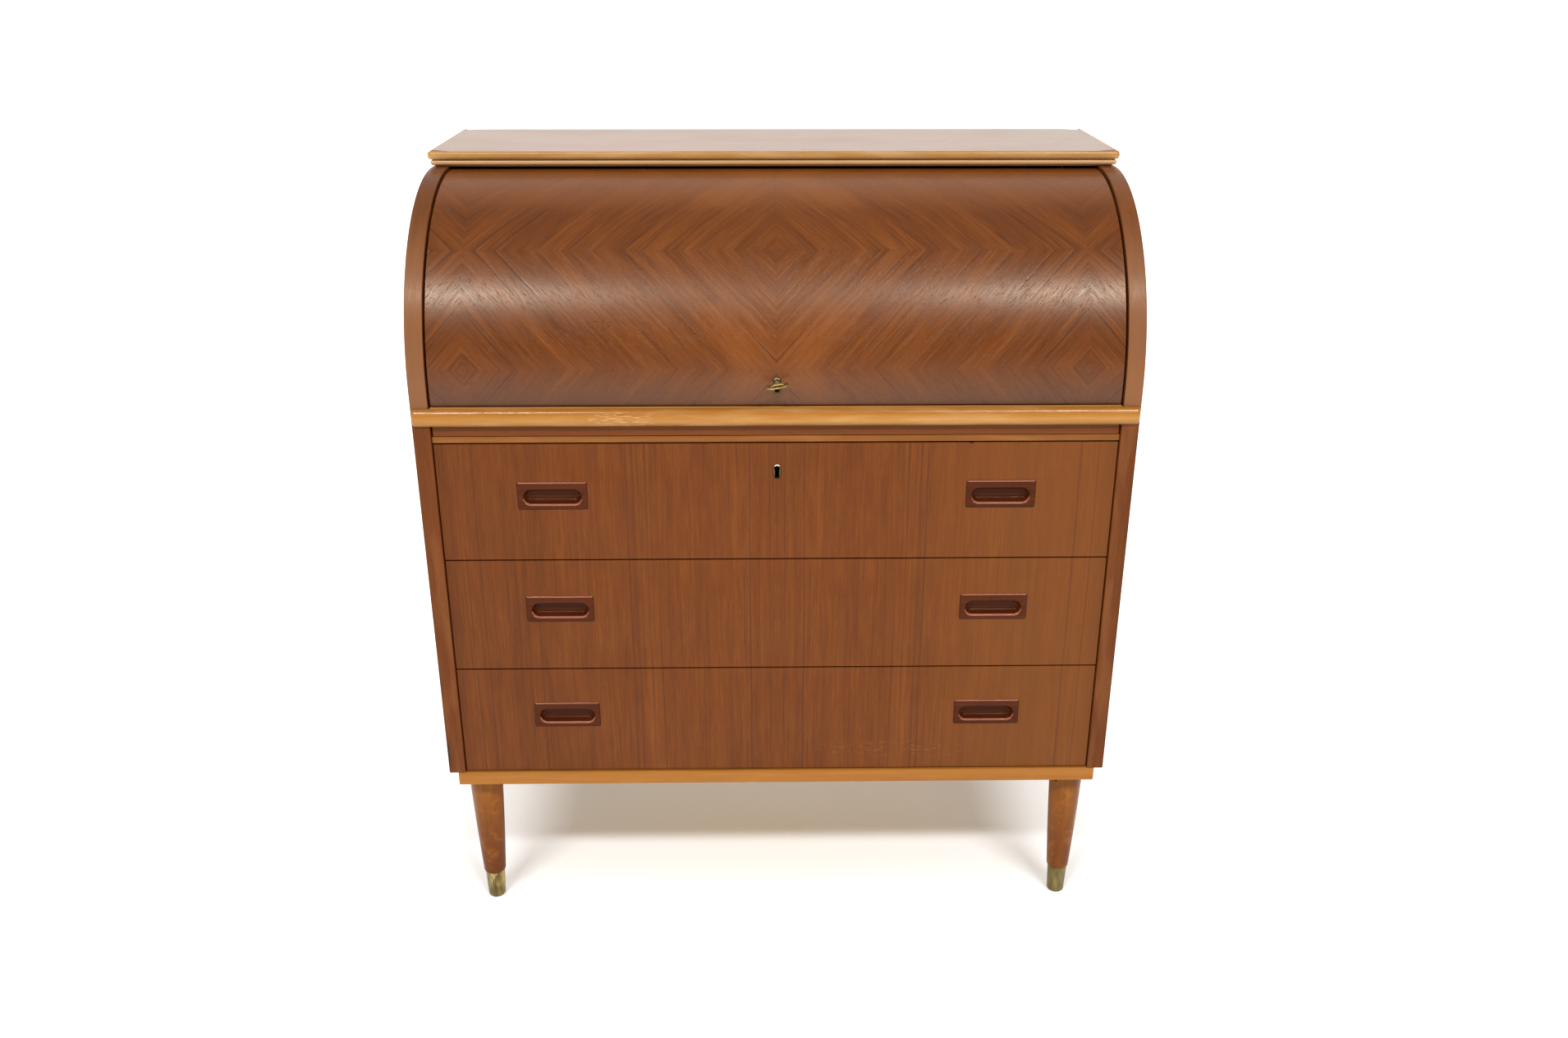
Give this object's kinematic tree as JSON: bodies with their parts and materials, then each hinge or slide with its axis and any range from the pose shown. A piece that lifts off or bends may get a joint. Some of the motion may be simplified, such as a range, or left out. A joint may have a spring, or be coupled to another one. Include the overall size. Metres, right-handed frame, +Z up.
{
  "type": "cylinder-front writing desk",
  "caption": "Teak cylinder-front writing desk: rigid curved cover over a pull-out leaf and pigeonholes, full-width drawers below, tapered legs with brass ferrules.",
  "frame": {"origin": "on the floor, under the middle of the bounding box (the key in the cover lock counts, so the case itself sits 13.7 mm behind the middle)", "axes": "+Z up, -Y towards the user who sits in front, +X to the right seen from the front"},
  "size_m": [0.908, 0.4945, 1.0358],
  "materials": {
    "teak": "open-grained veneer, oiled and worn to a low satin",
    "teak_cover": "book-matched veneer, satin lacquer",
    "teak_pull": "solid, darker and redder, satin",
    "beech": "solid, amber lacquer, satin",
    "stained_beech": "turned solid, stained and lacquered",
    "birch_ply": "pale plywood, barely sealed",
    "brass": "aged and dulled",
    "steel": "plain bright steel"
  },
  "bodies": {
    "case": {"side_left": "teak", "side_right": "teak", "back_panel": "birch_ply", "bottom_panel": "birch_ply", "leaf_rail": "beech", "dust_board": "birch_ply", "top_panel": "teak", "top_moulding_front": "beech", "top_moulding_left": "beech", "top_moulding_right": "beech", "plinth_front": "beech", "plinth_back": "beech", "plinth_left": "beech", "plinth_right": "beech", "leg_front_left": "stained_beech", "leg_front_right": "stained_beech", "leg_back_left": "stained_beech", "leg_back_right": "stained_beech", "ferrule_front_left": "brass", "ferrule_front_right": "brass", "ferrule_back_left": "brass", "ferrule_back_right": "brass", "runner_bottom_left": "beech", "runner_bottom_right": "beech", "runner_middle_left": "beech", "runner_middle_right": "beech", "runner_top_left": "beech", "runner_top_right": "beech", "pigeonhole_unit": "teak"},
    "leaf": {"writing_leaf": "teak", "leaf_nose": "beech", "leaf_apron": "teak", "leaf_batten_left": "beech", "leaf_batten_right": "beech"},
    "cover": {"cover_panel": "teak_cover", "cover_cheek_left": "birch_ply", "cover_cheek_right": "birch_ply", "pivot_pin_left": "steel", "pivot_pin_right": "steel", "cover_lock_case": "steel", "cover_keyhole_liner": "brass"},
    "cover_bolt": {"cover_lock_bolt": "steel"},
    "key": {"key": "brass"},
    "drawer_bottom": {"drawer_front_bottom": "teak", "drawer_box_bottom": "birch_ply", "pull_bottom_left": "teak_pull", "pull_bottom_right": "teak_pull"},
    "drawer_middle": {"drawer_front_middle": "teak", "drawer_box_middle": "birch_ply", "pull_middle_left": "teak_pull", "pull_middle_right": "teak_pull"},
    "drawer_top": {"drawer_front_top": "teak", "drawer_box_top": "birch_ply", "pull_top_left": "teak_pull", "pull_top_right": "teak_pull", "drawer_lock_case": "steel", "drawer_keyhole_liner": "brass"},
    "drawer_bolt": {"drawer_lock_bolt": "steel"},
    "small_drawer_left": {"small_drawer_left": "teak"},
    "small_drawer_right": {"small_drawer_right": "teak"}
  },
  "joints": [
    {"name": "leaf_slide", "type": "slide", "parent": "case", "child": "leaf", "axis": [0, -1, 0], "range_m": [0, 0.2]},
    {"name": "cover_hinge", "type": "hinge", "parent": "case", "child": "cover", "pos_m": [0, 0.0132, 0.7828], "axis": [-1, 0, 0], "range_deg": [0, 80]},
    {"name": "key_turn", "type": "hinge", "parent": "cover", "child": "key", "pos_m": [0, -0.21592, 0.792], "axis": [0, -0.9992, 0.0401], "range_deg": [0, 180]},
    {"name": "cover_bolt_slide", "type": "slide", "parent": "cover", "child": "cover_bolt", "axis": [0, -0.0401, -0.9992], "range_m": [0, 0.008]},
    {"name": "drawer_bottom_slide", "type": "slide", "parent": "case", "child": "drawer_bottom", "axis": [0, -1, 0], "range_m": [0, 0.3]},
    {"name": "drawer_middle_slide", "type": "slide", "parent": "case", "child": "drawer_middle", "axis": [0, -1, 0], "range_m": [0, 0.3]},
    {"name": "drawer_top_slide", "type": "slide", "parent": "case", "child": "drawer_top", "axis": [0, -1, 0], "range_m": [0, 0.3]},
    {"name": "drawer_bolt_slide", "type": "slide", "parent": "drawer_top", "child": "drawer_bolt", "axis": [0, 0, 1], "range_m": [0, 0.008]},
    {"name": "small_drawer_left_slide", "type": "slide", "parent": "case", "child": "small_drawer_left", "axis": [0, -1, 0], "range_m": [0, 0.12]},
    {"name": "small_drawer_right_slide", "type": "slide", "parent": "case", "child": "small_drawer_right", "axis": [0, -1, 0], "range_m": [0, 0.12]}
  ],
  "couplings": [
    {"joint": "key_turn", "follows": "cover_bolt_slide", "rad_per_m": 392.69}
  ]
}
